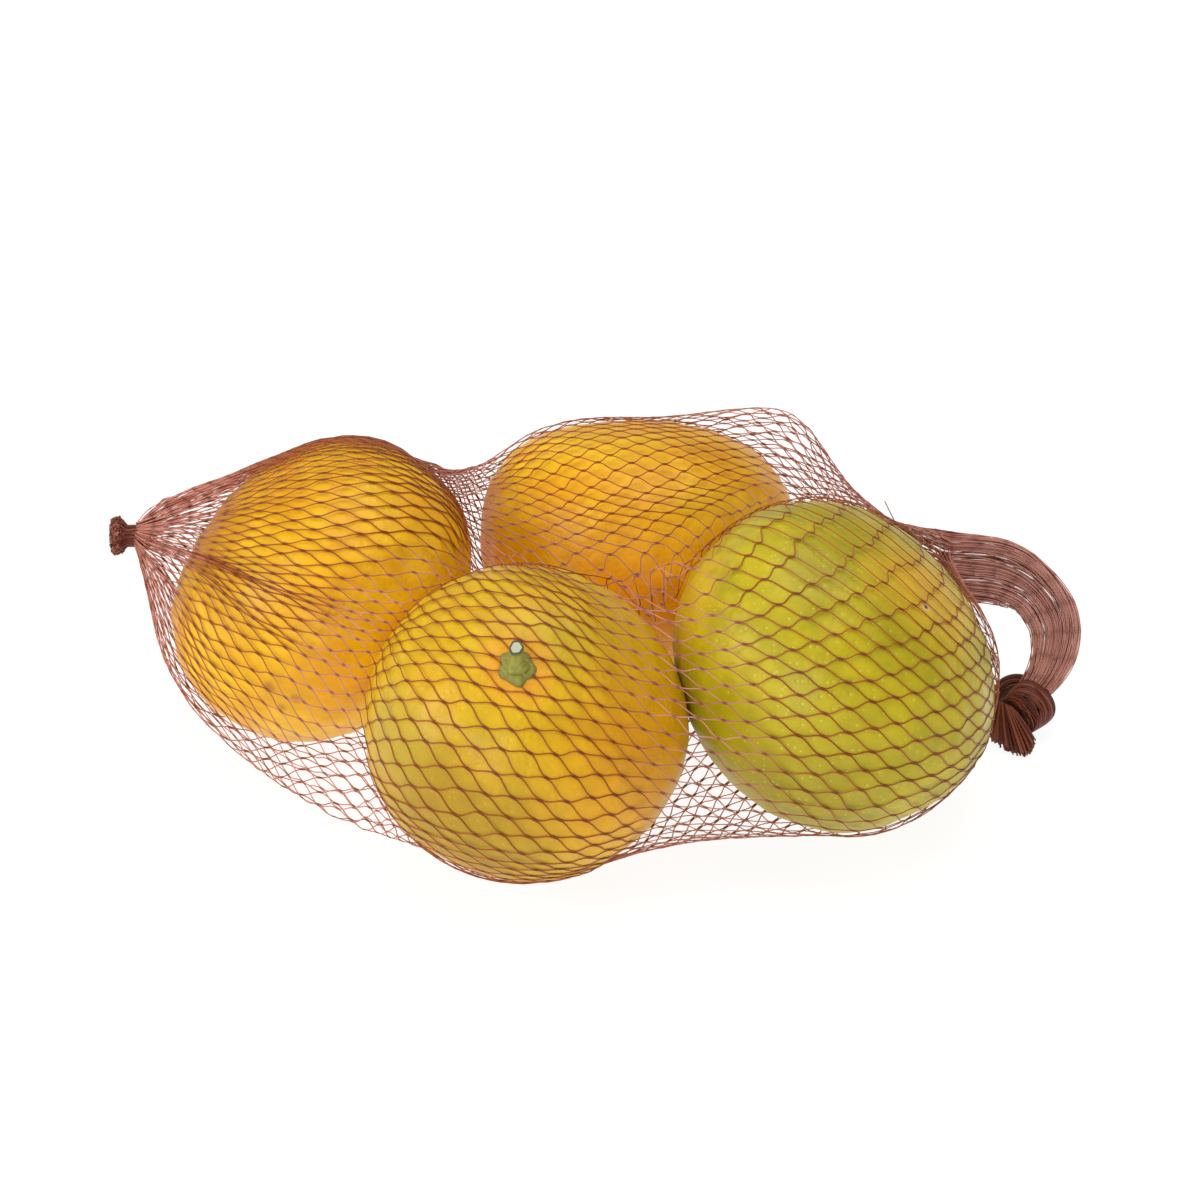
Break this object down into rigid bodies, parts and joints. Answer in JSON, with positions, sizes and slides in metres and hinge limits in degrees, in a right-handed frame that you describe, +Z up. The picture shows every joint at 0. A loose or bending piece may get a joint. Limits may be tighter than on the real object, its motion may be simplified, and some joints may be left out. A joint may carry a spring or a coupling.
{
  "type": "net of clementines",
  "caption": "Knitted plastic net of small citrus fruit lying on its side, crimped shut at the left, with a flat gathered tail and a knot at the right.",
  "frame": {"origin": "middle of the bottom of the bounding box, on the surface that the filled net lies on", "axes": "+X along the net from the crimped end to the knotted end, +Z up, and the pictured side faces -Y"},
  "size_m": [0.1906, 0.1293, 0.0627],
  "materials": {
    "net": "knitted polyethylene tube net, reddish brown, slightly translucent where single",
    "peel": "waxy citrus peel with oil-gland pores, yellow-orange turning green on some fruit",
    "calyx": "dry green calyx with a short cut stem stub"
  },
  "bodies": {
    "root": {"net_bag": "net"}
  },
  "joints": []
}
